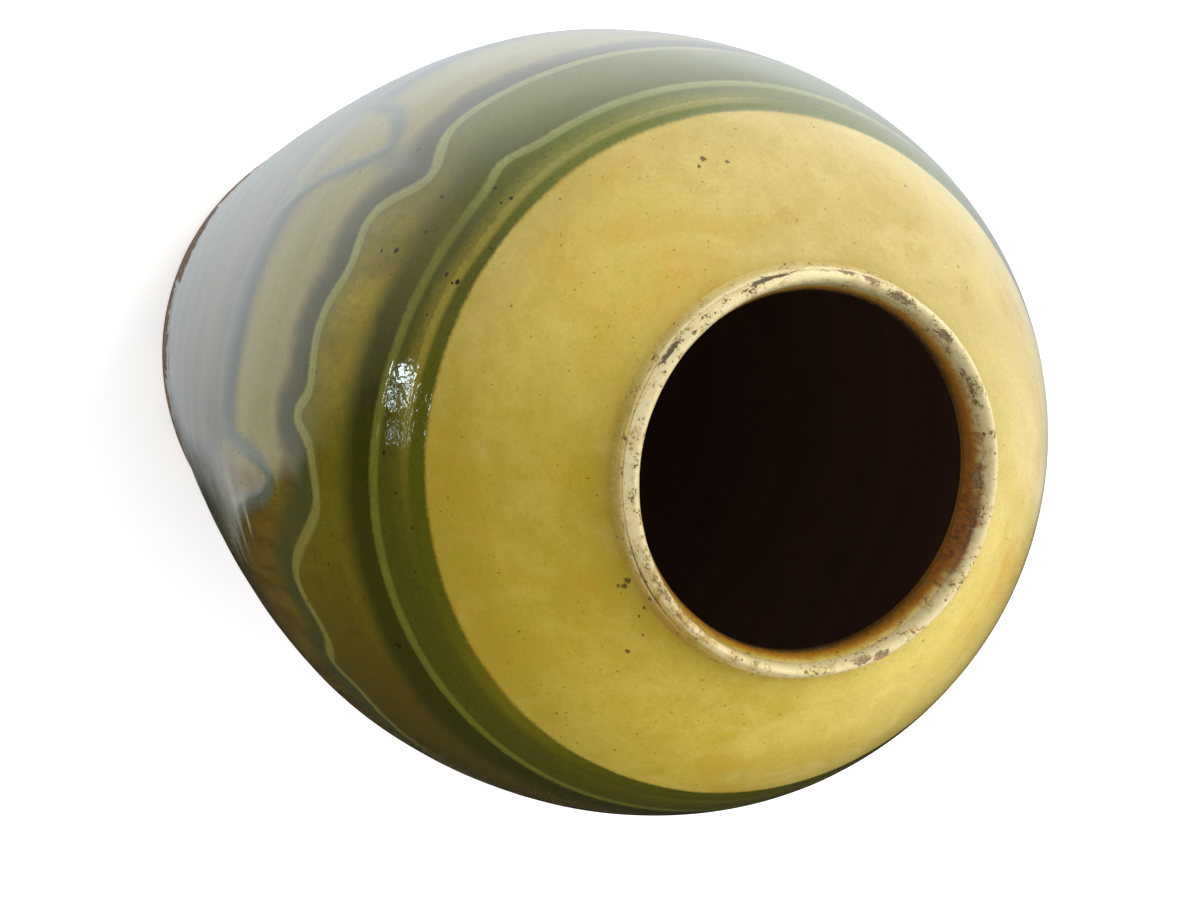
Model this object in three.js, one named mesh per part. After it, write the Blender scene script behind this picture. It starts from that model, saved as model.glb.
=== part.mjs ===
// A glazed terracotta jar: wide round shoulder, short neck with a rolled lip, flat foot.
// It is built the way such jars are made, from clay sections thrown apart and luted together:
// a base disc, a lower wall, an upper wall, a neck collar and a lip roll. Raised lines of pale
// slip run round the shoulder. Millimetres, +Z up, origin at the middle of the foot's underside.

import * as THREE from 'three';

// overall form
const TOTAL_HEIGHT = 343.5;
const BELLY_DIAMETER = 216.5;
const BELLY_HEIGHT = 201;
const FOOT_DIAMETER = 150;
const LIP_DIAMETER = 100;
const NECK_HEIGHT = 10;

// shape of the outline, as shares of each stretch's own rise or run
const SHOULDER_FULLNESS = 0.73;
const SHOULDER_TOP_RUN = 0.47;
const SHOULDER_TOP_SLOPE = THREE.MathUtils.degToRad(25.5);
const BELLY_FULLNESS_BELOW = 0.19;
const FOOT_RUN = 0.28;
const FOOT_LEAN = THREE.MathUtils.degToRad(12.5);

// clay thickness
const FOOT_WALL = 8;
const BELLY_WALL = 6;
const NECK_WALL = 5.6;
const THROAT_EDGE = 2;

// base disc
const DISC_THICKNESS = 8;
const DISC_BOSS_HEIGHT = 2;
const FOOT_RING_WIDTH = 13;
const FOOT_RECESS = 1.5;
const FOOT_EDGE_BEVEL = 1.2;

// where the two walls are luted together
const SEAM_HEIGHT = 182;

// luted seats: a wedge-shaped tongue in a slightly larger groove, between flat shoulders
const TONGUE_DEPTH = 1.3;
const TONGUE_HALF_WIDTH = 1.1;
const CLEARANCE = 0.3;

// neck collar: flares out to the shoulder, draws in to a waist, and swells to a small bead on top
const COLLAR_FLARE = 1.4;
const COLLAR_LAND = 0.4;
const COLLAR_WAIST = 0.3;
const COLLAR_BEAD = 0.5;
const COLLAR_HOLLOW_HEIGHT = 2.6;

// lip roll: sits on the collar, widest a little above its seat, and falls away inside the mouth,
// where lip and collar together taper down to the throat
const LIP_HEIGHT = 4.6;
const LIP_UNDERCUT = 1.5;
const LIP_INNER_RUN = 2.1;
const THROAT_TAPER = 1.9;

// raised slip lines
const LINE_WIDTH = 2.3;
const LINE_RELIEF = 0.7;

// each line's drop below the neck, its tilt round the pot, and the crests and dips along it:
// azimuths and spreads in degrees from +X, drops and rises in millimetres
const UPPER_LINE = {
  drop: 38, tilt: 1.2, highest: 194, stepsPerFacet: 1,
  crests: [{ at: 254, rise: 2, spread: 13 }, { at: 90, rise: -1, spread: 14 }],
};
const MIDDLE_LINE = {
  drop: 47.5, tilt: 2.8, highest: 162, stepsPerFacet: 1,
  crests: [
    { at: 236, rise: -3.2, spread: 4.2 }, { at: 261, rise: 2.3, spread: 27 },
    { at: 60, rise: 1.5, spread: 12 },
  ],
};
const WAVY_LINE = {
  drop: 87.7, tilt: 15, highest: 176, stepsPerFacet: 2,
  crests: [
    { at: 243.3, rise: 13.8, spread: 6 }, { at: 259.4, rise: 6.9, spread: 6.5 },
    { at: 282, rise: -7.5, spread: 2.8 }, { at: 289.8, rise: 17.7, spread: 22 },
    { at: 294.5, rise: 3.7, spread: 5 }, { at: 306.2, rise: -11.1, spread: 6.7 },
    { at: 321.5, rise: -7.2, spread: 3.3 }, { at: 352, rise: 8, spread: 8 },
    { at: 24, rise: -7, spread: 6 }, { at: 48, rise: 11, spread: 5 },
    { at: 96, rise: 5, spread: 12 }, { at: 128, rise: -8, spread: 5 },
    { at: 158, rise: -4, spread: 9 },
  ],
};

// fineness of the faceted surfaces
const ROUND_STEPS = 64;
const OUTER_FACET = 13.5;
const INNER_FACET = 18;

const bellyRadius = BELLY_DIAMETER / 2;
const footRadius = FOOT_DIAMETER / 2;
const lipRadius = LIP_DIAMETER / 2;
const throatRadius = lipRadius - NECK_WALL;
const neckBase = TOTAL_HEIGHT - NECK_HEIGHT;
const collarTop = TOTAL_HEIGHT - LIP_HEIGHT;
const lipInnerRadius = throatRadius + THROAT_TAPER;
const collarBaseRadius = lipRadius + COLLAR_FLARE;

const point = (radius, height) => new THREE.Vector2(radius, height);

// one face of the pot wall, from the foot to the neck: two curves that meet upright at the belly
function wallFace(foot, belly, top) {
  const belowRise = belly.y - foot.y;
  const aboveRise = top.y - belly.y;
  const topRun = (belly.x - top.x) * SHOULDER_TOP_RUN;
  const footRise = belowRise * FOOT_RUN;
  const below = new THREE.CubicBezierCurve(
    foot,
    point(foot.x + footRise * Math.sin(FOOT_LEAN), foot.y + footRise * Math.cos(FOOT_LEAN)),
    point(belly.x, belly.y - BELLY_FULLNESS_BELOW * belowRise),
    belly,
  );
  const above = new THREE.CubicBezierCurve(
    belly,
    point(belly.x, belly.y + SHOULDER_FULLNESS * aboveRise),
    point(top.x + topRun * Math.cos(SHOULDER_TOP_SLOPE), top.y - topRun * Math.sin(SHOULDER_TOP_SLOPE)),
    top,
  );
  const face = new THREE.CurvePath();
  face.add(below);
  face.add(above);
  return face;
}

const outside = wallFace(
  point(footRadius, 0),
  point(bellyRadius, BELLY_HEIGHT),
  point(collarBaseRadius, neckBase),
);
const inside = wallFace(
  point(footRadius - FOOT_WALL, 0),
  point(bellyRadius - BELLY_WALL, BELLY_HEIGHT),
  point(throatRadius, neckBase - THROAT_EDGE),
);

// how far along a wall face, from 0 to 1, a height is reached
function shareAtHeight(face, height) {
  let low = 0;
  let high = 1;
  for (let i = 0; i < 40; i += 1) {
    const middle = (low + high) / 2;
    if (face.getPoint(middle).y < height) low = middle;
    else high = middle;
  }
  return (low + high) / 2;
}

// a wall face's radius at a height
function radiusAtHeight(face, height) {
  return face.getPoint(shareAtHeight(face, height)).x;
}

// points evenly spaced along a wall face between two heights, both ends exactly at their height
function faceBetween(face, fromHeight, toHeight, facet) {
  const from = shareAtHeight(face, fromHeight);
  const to = shareAtHeight(face, toHeight);
  const steps = Math.ceil((Math.abs(to - from) * face.getLength()) / facet);
  const points = [];
  for (let i = 0; i <= steps; i += 1) points.push(face.getPoint(from + ((to - from) * i) / steps));
  points[0].y = fromHeight;
  points[steps].y = toHeight;
  return points;
}

// points of an elliptical quarter or part turn about a centre
function arc(centreRadius, centreHeight, runRadius, riseRadius, fromDegrees, toDegrees, steps) {
  const points = [];
  for (let i = 0; i <= steps; i += 1) {
    const angle = THREE.MathUtils.degToRad(fromDegrees + ((toDegrees - fromDegrees) * i) / steps);
    const run = runRadius * Math.cos(angle);
    const rise = riseRadius * Math.sin(angle);
    points.push(point(centreRadius + run, centreHeight + rise));
  }
  return points;
}

// the tongue hangs below its seat, and runs from the inside of the pot outwards
function tongue(centre, height) {
  return [
    point(centre - TONGUE_HALF_WIDTH, height),
    point(centre, height - TONGUE_DEPTH),
    point(centre + TONGUE_HALF_WIDTH, height),
  ];
}

// the groove takes the tongue with room all round, and runs from the outside of the pot inwards
function groove(centre, height) {
  const slope = TONGUE_DEPTH / TONGUE_HALF_WIDTH;
  const extraDepth = CLEARANCE * Math.hypot(1, slope);
  const depth = TONGUE_DEPTH + extraDepth;
  const halfWidth = depth / slope;
  return [
    point(centre + halfWidth, height),
    point(centre, height - depth),
    point(centre - halfWidth, height),
  ];
}

// turns a profile round the upright axis; it runs outwards underneath, up outside, down inside
function turned(profile, closed) {
  const outline = closed ? [...profile, profile[0].clone()] : profile;
  const geometry = new THREE.LatheGeometry(outline, ROUND_STEPS);
  geometry.rotateX(Math.PI / 2);
  return geometry;
}

// base disc: a slab whose boss stands inside the lower wall, with a shallow recess underneath
function baseDisc() {
  const bossRadius = radiusAtHeight(inside, DISC_THICKNESS) - CLEARANCE;
  const edge = faceBetween(outside, FOOT_EDGE_BEVEL, DISC_THICKNESS, OUTER_FACET);
  const ringInner = footRadius - FOOT_RING_WIDTH;
  return turned([
    point(0, FOOT_RECESS),
    point(ringInner - FOOT_RECESS, FOOT_RECESS),
    point(ringInner, 0),
    point(footRadius - FOOT_EDGE_BEVEL, 0),
    ...edge,
    point(bossRadius, DISC_THICKNESS),
    point(bossRadius, DISC_THICKNESS + DISC_BOSS_HEIGHT),
    point(0, DISC_THICKNESS + DISC_BOSS_HEIGHT),
  ], false);
}

// each luted seat runs round the middle of the clay that meets there
const seamSeat = (radiusAtHeight(inside, SEAM_HEIGHT) + radiusAtHeight(outside, SEAM_HEIGHT)) / 2;
const neckSeat = (throatRadius + collarBaseRadius) / 2;

// lower wall: stands on the disc's ledge and carries the upper wall in its grooved top edge
function lowerWall() {
  return turned([
    ...faceBetween(outside, DISC_THICKNESS, SEAM_HEIGHT, OUTER_FACET),
    ...groove(seamSeat, SEAM_HEIGHT),
    ...faceBetween(inside, SEAM_HEIGHT, DISC_THICKNESS, INNER_FACET),
  ], true);
}

// upper wall: belly and shoulder, tongued below, with a grooved seat round its mouth
function upperWall() {
  return turned([
    ...tongue(seamSeat, SEAM_HEIGHT),
    ...faceBetween(outside, SEAM_HEIGHT, neckBase, OUTER_FACET),
    ...groove(neckSeat, neckBase),
    point(throatRadius, neckBase),
    ...faceBetween(inside, neckBase - THROAT_EDGE, SEAM_HEIGHT, INNER_FACET),
  ], true);
}

// neck collar: a short ring that runs out into the shoulder in a hollow curve, beaded at its top
function neckCollar() {
  const waistRadius = lipRadius - COLLAR_WAIST;
  const hollowBase = neckBase + COLLAR_LAND;
  const hollowTop = hollowBase + COLLAR_HOLLOW_HEIGHT;
  const beadRun = lipRadius + COLLAR_BEAD - waistRadius;
  const beadRise = (collarTop - hollowTop) / 2;
  return turned([
    point(throatRadius, neckBase),
    ...tongue(neckSeat, neckBase),
    point(collarBaseRadius, neckBase),
    ...arc(collarBaseRadius, hollowTop, collarBaseRadius - waistRadius, COLLAR_HOLLOW_HEIGHT, 270, 180, 3),
    ...arc(waistRadius, hollowTop + beadRise, beadRun, beadRise, -90, 90, 4).slice(1),
    point(lipInnerRadius, collarTop),
  ], true);
}

// lip roll: rounded over outside, falling in a long curve to the throat inside
function lipRoll() {
  const crestRadius = lipInnerRadius + LIP_INNER_RUN;
  const outerRun = lipRadius - crestRadius;
  const widestHeight = collarTop + LIP_UNDERCUT;
  const crestRise = LIP_HEIGHT - LIP_UNDERCUT;
  return turned([
    point(lipInnerRadius, collarTop),
    ...arc(crestRadius, widestHeight, outerRun, LIP_UNDERCUT, -90, 0, 2),
    ...arc(crestRadius, widestHeight, outerRun, crestRise, 0, 90, 4).slice(1),
    ...arc(crestRadius, collarTop, LIP_INNER_RUN, LIP_HEIGHT, 90, 180, 5).slice(1, -1),
  ], true);
}

// a place on the pot's outside at an azimuth and height, with the direction straight out of the wall
function wallPlace(azimuth, height) {
  const share = shareAtHeight(outside, height);
  const onFace = outside.getPoint(share);
  const along = outside.getTangent(share);
  const out = new THREE.Vector3(along.y * Math.cos(azimuth), along.y * Math.sin(azimuth), -along.x);
  const place = new THREE.Vector3(onFace.x * Math.cos(azimuth), onFace.x * Math.sin(azimuth), onFace.y);
  return { place, out };
}

// height of a slip line at an azimuth, from its tilt round the pot and its crests and runs
function lineHeight(line, degrees) {
  const turn = THREE.MathUtils.degToRad(degrees - line.highest);
  let height = neckBase - line.drop + line.tilt * Math.cos(turn);
  for (const crest of line.crests) {
    const away = THREE.MathUtils.euclideanModulo(degrees - crest.at + 180, 360) - 180;
    height += crest.rise * Math.exp(-((away / crest.spread) ** 2));
  }
  return height;
}

// a slip line: a low rounded ridge swept once round the pot, just clear of the wall it lies on
function slipLine(line) {
  const half = LINE_WIDTH / 2;
  const section = [
    [-half, CLEARANCE],
    [half, CLEARANCE],
    [half * 0.6, CLEARANCE + LINE_RELIEF * 0.8],
    [0, CLEARANCE + LINE_RELIEF],
    [-half * 0.6, CLEARANCE + LINE_RELIEF * 0.8],
  ];
  const steps = ROUND_STEPS * line.stepsPerFacet;
  const places = [];
  for (let i = 0; i < steps; i += 1) {
    const degrees = (360 * i) / steps;
    places.push(wallPlace(THREE.MathUtils.degToRad(degrees), lineHeight(line, degrees)));
  }
  const positions = [];
  const indices = [];
  places.forEach(({ place, out }, i) => {
    const before = places[(i + steps - 1) % steps].place;
    const after = places[(i + 1) % steps].place;
    const side = new THREE.Vector3().crossVectors(out, after.clone().sub(before)).normalize();
    section.forEach(([across, proud], j) => {
      const corner = place.clone().addScaledVector(side, across).addScaledVector(out, proud);
      positions.push(corner.x, corner.y, corner.z);
      const here = i * section.length;
      const next = ((i + 1) % steps) * section.length;
      const following = (j + 1) % section.length;
      indices.push(here + j, here + following, next + j);
      indices.push(next + j, here + following, next + following);
    });
  });
  const geometry = new THREE.BufferGeometry();
  geometry.setAttribute('position', new THREE.Float32BufferAttribute(positions, 3));
  geometry.setIndex(indices);
  geometry.computeVertexNormals();
  return geometry;
}

function finish(color, roughness) {
  return new THREE.MeshStandardMaterial({ color, roughness, metalness: 0 });
}

const vase = new THREE.Group();

function addPiece(name, geometry, material) {
  const mesh = new THREE.Mesh(geometry, material);
  mesh.name = name;
  vase.add(mesh);
}

addPiece('base_disc', baseDisc(), finish(0x9c6540, 0.85));
addPiece('lower_wall', lowerWall(), finish(0x8a7d45, 0.2));
addPiece('upper_wall', upperWall(), finish(0x7c7a30, 0.15));
addPiece('neck_collar', neckCollar(), finish(0xcba94f, 0.25));
addPiece('lip_roll', lipRoll(), finish(0xd9c78c, 0.3));
addPiece('slip_line_upper', slipLine(UPPER_LINE), finish(0xa79c4c, 0.2));
addPiece('slip_line_middle', slipLine(MIDDLE_LINE), finish(0x9aa565, 0.2));
addPiece('slip_line_wavy', slipLine(WAVY_LINE), finish(0xb3b183, 0.2));

export default vase;
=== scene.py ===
"""A glazed terracotta jar: turned clay sections, poured glazes and raised lines of slip."""

import math

import bpy
import numpy as np
from bpy.props import FloatProperty, FloatVectorProperty, IntProperty, PointerProperty
from mathutils import Matrix, Vector


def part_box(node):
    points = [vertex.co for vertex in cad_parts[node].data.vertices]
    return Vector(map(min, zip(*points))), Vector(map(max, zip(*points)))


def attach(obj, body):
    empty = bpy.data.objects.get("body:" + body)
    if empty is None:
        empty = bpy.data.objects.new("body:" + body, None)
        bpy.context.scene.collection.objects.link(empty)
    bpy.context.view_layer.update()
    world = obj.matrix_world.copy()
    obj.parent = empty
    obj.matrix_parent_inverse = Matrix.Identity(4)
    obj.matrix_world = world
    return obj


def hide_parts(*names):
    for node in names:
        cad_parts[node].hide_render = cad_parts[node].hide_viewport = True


bl_info = {
    "name": "Glazed terracotta jar",
    "version": (1, 0, 0),
    "blender": (4, 5, 0),
    "location": "3D View > Sidebar > Jar",
    "description": "Builds the looks of a glazed terracotta jar on its packed CAD sections",
    "category": "Add Mesh",
}

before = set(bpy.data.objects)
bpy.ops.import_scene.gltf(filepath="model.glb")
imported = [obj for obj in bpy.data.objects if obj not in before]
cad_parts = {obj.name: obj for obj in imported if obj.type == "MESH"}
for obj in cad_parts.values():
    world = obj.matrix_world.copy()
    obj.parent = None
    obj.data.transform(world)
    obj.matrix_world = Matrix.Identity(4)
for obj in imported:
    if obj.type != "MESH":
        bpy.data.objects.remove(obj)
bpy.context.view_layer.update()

MM = 0.001

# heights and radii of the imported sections; lengths are millimetres unless a comment says so
DISC_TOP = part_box("lower_wall")[0].z / MM
SEAM_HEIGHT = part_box("lower_wall")[1].z / MM
NECK_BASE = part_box("upper_wall")[1].z / MM
COLLAR_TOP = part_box("neck_collar")[1].z / MM
COLLAR_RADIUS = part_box("neck_collar")[1].x / MM
LIP_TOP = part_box("lip_roll")[1].z / MM

# the wall's two faces, as shares of each stretch's own rise or run
FOOT_RUN = 0.28
FOOT_LEAN = math.radians(12.5)
BELLY_FULLNESS_BELOW = 0.19
SHOULDER_FULLNESS = 0.73
SHOULDER_TOP_RUN = 0.47
SHOULDER_TOP_SLOPE = math.radians(25.5)

# clay thickness and the foot
FOOT_WALL = 8
BELLY_WALL = 6
THROAT_RADIUS = 44.4
THROAT_EDGE = 2
THROAT_TAPER = 1.9
FOOT_RING_WIDTH = 13
FOOT_RECESS = 1.5
FOOT_EDGE_BEVEL = 1.2
DISC_BOSS_HEIGHT = 2
DISC_CLEARANCE = 0.3

# collar and lip sections; the lip leans a little to one side
COLLAR_WAIST = 49.85
COLLAR_BEAD = 0.55
COLLAR_HOLLOW_HEIGHT = 2.8
LIP_UNDERCUT = 0.5
LIP_OUTER_RUN = 1.6
LIP_INNER_RUN = 2.1
LIP_CREST_RADIUS = 48.3
GROOVE_INNER_RADIUS = 47.6
LIP_LEAN = 0.45
LIP_LEAN_SIDE = math.radians(285)

# how far apart the mesh's rows and turns are; the rows are closer round the yellow glaze's edge
LOWER_SPACING = 1.75
UPPER_SPACING = 1.7
FINE_SPACING = 0.85
FINE_ZONE = (278, 303)
LINING_SPACING = 9
COLLAR_TURNS = 720
LIP_TURNS = 1440
SHARP_ANGLE = math.radians(38)

# where the yellow glaze ends and how high the bare clay stands
YELLOW_EDGE = 301.4
BARE_EDGE = 19

# the fired skin: the seam's groove, how thick the yellow and the runs lie, the room that it
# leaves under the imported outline, and the finger marks inside and on the floor
SEAM_GROOVE = 0.08
YELLOW_THICKNESS = 0.1
RUN_THICKNESS = 0.14
OUTLINE_ROOM = 0.22
SPIRAL_PITCH = 13
SPIRAL_DEPTH = 0.25
FLOOR_SPIRAL_PITCH = 5.5
FLOOR_SPIRAL_DEPTH = 0.1
LIP_WAVE = 0.09

# how deep a slip line's edges and back lie in the wall, and how its width and height wander
LINE_SUNK = 0.03
LINE_BACK = 0.34
LINE_WIDTH_WANDER = 0.16
LINE_HEIGHT_WANDER = 0.12

# pale grains in the glaze and in the clay
GLAZE_GRAIN = (0.7, 0.68, 0.56)
CLAY_GRAIN = (0.62, 0.5, 0.36)

# depths of the bumps in the finishes, in metres
WAVE_DEPTH = 0.00009
PIT_DEPTH = 0.00006
CLAY_DEPTH = 0.00022
GLAZE_IOR = 1.5

# each slip line's drop below the neck, its tilt, and its crests: (azimuth, rise, spread)
SLIP_LINES = {
    "slip_line_upper": {
        "drop": 38, "tilt": 1.2, "highest": 194, "steps": 900,
        "crests": ((254, 2, 13), (90, -1, 14)),
    },
    "slip_line_middle": {
        "drop": 47.5, "tilt": 2.8, "highest": 162, "steps": 900,
        "crests": ((236, -3.2, 4.2), (261, 2.3, 27), (60, 1.5, 12)),
    },
    "slip_line_wavy": {
        "drop": 87.7, "tilt": 15, "highest": 176, "steps": 1440,
        "crests": (
            (243.3, 13.8, 6), (259.4, 6.9, 6.5), (282, -7.5, 2.8), (289.8, 17.7, 22),
            (294.5, 3.7, 5), (306.2, -11.1, 6.7), (321.5, -7.2, 3.3), (352, 8, 8),
            (24, -7, 6), (48, 11, 5), (96, 5, 12), (128, -8, 5), (158, -4, 9),
        ),
    },
}

# hairpin runs below the wavy line: the left leg from its foot up, the apex, the right leg down
HAIRPINS = (
    (
        ((231.5, 172), (233, 190), (233.7, 204), (234, 215.7), (237.5, 230)),
        (241, 236.6),
        ((243.5, 230), (245.8, 222.4), (247.5, 212.4), (251.7, 199), (255.8, 187.4), (258, 174)),
    ),
    (
        ((284, 172), (286.2, 186), (287.5, 199), (289, 215.7), (290, 226)),
        (292, 232),
        ((294.6, 226), (296.4, 214), (298.6, 198), (301.6, 184), (304, 170)),
    ),
    (
        ((343, 152), (345.4, 170), (347, 186), (348.6, 202)),
        (352, 212),
        ((355.4, 202), (357.6, 186), (1, 170), (3.4, 154)),
    ),
    (
        ((41, 162), (42.4, 180), (43.6, 198), (45, 214)),
        (48, 223),
        ((50.8, 214), (52.6, 198), (55.4, 182), (57, 166)),
    ),
    (
        ((86, 168), (88.4, 186), (89.6, 204), (91.4, 219)),
        (96, 228),
        ((100, 219), (102, 203), (105.4, 188), (107, 172)),
    ),
)
# the radius at which the runs are laid out flat, and how far off they are still looked for:
# to their sides, over their tops and down to a height; they fade out over their lowest part
HAIRPIN_RADIUS = 107
HAIRPIN_REACH = 30.0
HAIRPIN_SIDES = 60
HAIRPIN_OVER = 25
HAIRPIN_LOWEST = 120
HAIRPIN_FADE = 24

# where the milky glaze ends, as height and angle, and its drips as height, reach and width
RUN_END = (
    (20, 322), (45, 315), (80, 318), (115, 309), (150, 311), (183, 305.5), (195, 301.5),
    (202, 299), (213, 296.8), (229, 293.2), (243, 289.8), (252, 290), (259, 285.5), (280, 285.5),
)
RUN_DRIPS = (
    (236, 2, 1.6), (222, 2.6, 1.4), (205.5, 4.4, 1.2), (195.5, 4.6, 1.4), (184, 4.8, 2),
    (172, 4, 2),
)

# chips in the lip's glaze: azimuth, radius, height, length round, width across, depth
LIP_CHIPS = (
    (214, 49.9, 340.6, 2.8, 1.5, 0.3), (209, 49.7, 341, 2.4, 0.9, 0.2),
    (188.5, 49.9, 341.3, 2, 1.1, 0.3), (181.5, 49.4, 342.7, 1.8, 1.1, 0.3),
    (171, 47.1, 343.2, 2.8, 1.3, 0.35), (151, 46.7, 343, 2.6, 1.3, 0.35),
    (138, 45.4, 341, 1.6, 1.2, 0.2), (129.5, 45.4, 341, 1.4, 1, 0.2),
    (103, 44.9, 338, 2.6, 1.5, 0.3), (42.5, 45, 339.5, 1.6, 1.1, 0.25),
    (31.5, 47.4, 343.4, 2, 1.1, 0.3), (37.5, 48.2, 343.5, 1.8, 1, 0.3),
    (248.5, 49.8, 340.6, 3.4, 1.2, 0.3), (321, 48, 343.4, 1.4, 0.8, 0.2),
)
# pinholes in it: azimuth, radius, height, size
LIP_PINHOLES = (
    (240, 49.2, 343, 0.9), (205, 46, 342, 0.5), (201, 46, 342, 0.45), (196, 46, 342, 0.5),
    (191.5, 46, 342, 0.45), (187.5, 46, 342, 0.5), (184, 46, 342, 0.4), (179.5, 46, 342, 0.5),
    (118, 47, 343.3, 0.6), (111, 48, 343.5, 0.5), (64, 47.5, 343.4, 0.6), (12, 47, 343.3, 0.5),
    (352, 48, 343.5, 0.5), (336, 47, 343.3, 0.4), (268, 49, 343, 0.5),
)
PINHOLE_DEPTH = 0.12
# single dark marks in the wall's glaze: azimuth, height, half width
WALL_SPOTS = (
    (256, 267.3, 0.8), (255.2, 272.9, 1.1), (239.8, 250.9, 0.9), (245.2, 276, 0.8),
    (240.3, 295.4, 0.7), (240.3, 289.2, 0.7), (251, 279.2, 0.7), (255.8, 293.4, 0.8),
    (256.2, 297.2, 1), (256.7, 296.1, 0.7), (262.8, 293.4, 0.8), (260, 269.1, 0.6),
    (308.2, 270.7, 0.9), (316, 276.6, 1.2), (327, 266.9, 0.8), (315.6, 296.2, 0.6),
    (316.5, 296.2, 0.6), (345.2, 280.2, 1), (284.8, 289, 1), (274, 260.9, 0.7),
    (271.2, 269.3, 0.5), (290, 261.9, 0.9), (284, 235.7, 0.7), (314.6, 333, 0.8),
    (315.6, 332.4, 0.7), (314.9, 331.8, 0.5), (323.5, 333, 0.5), (324.8, 332, 0.4),
    (306.8, 318.2, 0.8), (335, 308.6, 0.6), (335.6, 309.2, 0.5), (207, 316, 0.6),
    (211, 314, 0.9), (212.5, 315.5, 0.6), (331, 328, 0.7),
)

# window panes that the glaze reflects: name, azimuth, elevation, width and height in metres, power
WINDOW_PANES = (
    ("window_pane_top", 273.2, -19.4, 0.034, 0.06, 0.16),
    ("window_pane_right", 278.6, -16.5, 0.07, 0.01, 0.06),
    ("window_pane_left", 279.4, -23, 0.06, 0.01, 0.05),
    ("window_edge_right", 287, -16, 0.094, 0.007, 0.025),
    ("window_edge_left", 289, -22, 0.045, 0.007, 0.012),
)

# the key lamp, where the window stands, and the floor, in metres
KEY_PLACE = (-0.965, 0.557, 1.3)
KEY_TARGET = (0, 0, 0.3)
KEY_SIZE = 1.3
KEY_POWER = 20
WINDOW_COLOUR = (0.8, 1, 1)
WINDOW_DISTANCE = 0.7
WINDOW_TARGET = (0.010, -0.090, 0.294)
FLOOR_HALF = 6

# the studio's soft white, and the light that the glaze reflects
STUDIO_WHITE = (1, 0.995, 0.985)
STUDIO_POWER = 0.98
GLOSS_WHITE = (0.95, 1.0, 1.06)
GLOSS_LEAST = 0.018

# the camera's place in metres, its three directions, its lens and film in millimetres
CAMERA_PLACE = (0, -0.35426, 1.03303)
CAMERA_RIGHT = (-0.2736, 0.8850, 0.3768)
CAMERA_UP = (-0.9618, -0.2472, -0.1177)
CAMERA_BACK = (-0.0110, -0.3946, 0.9188)
CAMERA_LENS = 96
CAMERA_FILM = 36
# the nearest and farthest distances that it sees, in metres
CAMERA_CLIPS = (0.02, 50)


def colour(name, description, *screen):
    """A colour property whose default is given as screen values from 0 to 255."""
    shares = [value / 255 for value in screen]
    default = [x / 12.92 if x <= 0.04045 else ((x + 0.055) / 1.055) ** 2.4 for x in shares]
    return FloatVectorProperty(
        name=name, description=description, subtype="COLOR", size=3, min=0, max=1, default=default
    )


def length(name, description, default):
    """A length property in metres."""
    return FloatProperty(
        name=name, description=description, default=default, min=0,
        subtype="DISTANCE", unit="LENGTH", precision=5,
    )


class JarSizes(bpy.types.PropertyGroup):
    """Sizes that a maker would change."""

    foot_radius: length("Foot radius", "Outer radius of the foot", 0.075)
    belly_radius: length("Belly radius", "Widest radius of the wall", 0.10825)
    belly_height: length("Belly height", "Height of the widest place", 0.201)
    ripple_depth: length("Ripple depth", "Depth of the finger marks left by throwing", 0.00004)
    wobble: length("Wobble", "How far the fired wall is out of round", 0.0002)
    line_half_width: length("Slip line half width", "Half the width of a slip line", 0.0016)
    line_relief: length("Slip line relief", "Height of a slip line's ridge over its edges", 0.00005)
    turns: IntProperty(
        name="Turns", description="Points round the wall", default=600, min=64, max=1024
    )


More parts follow.
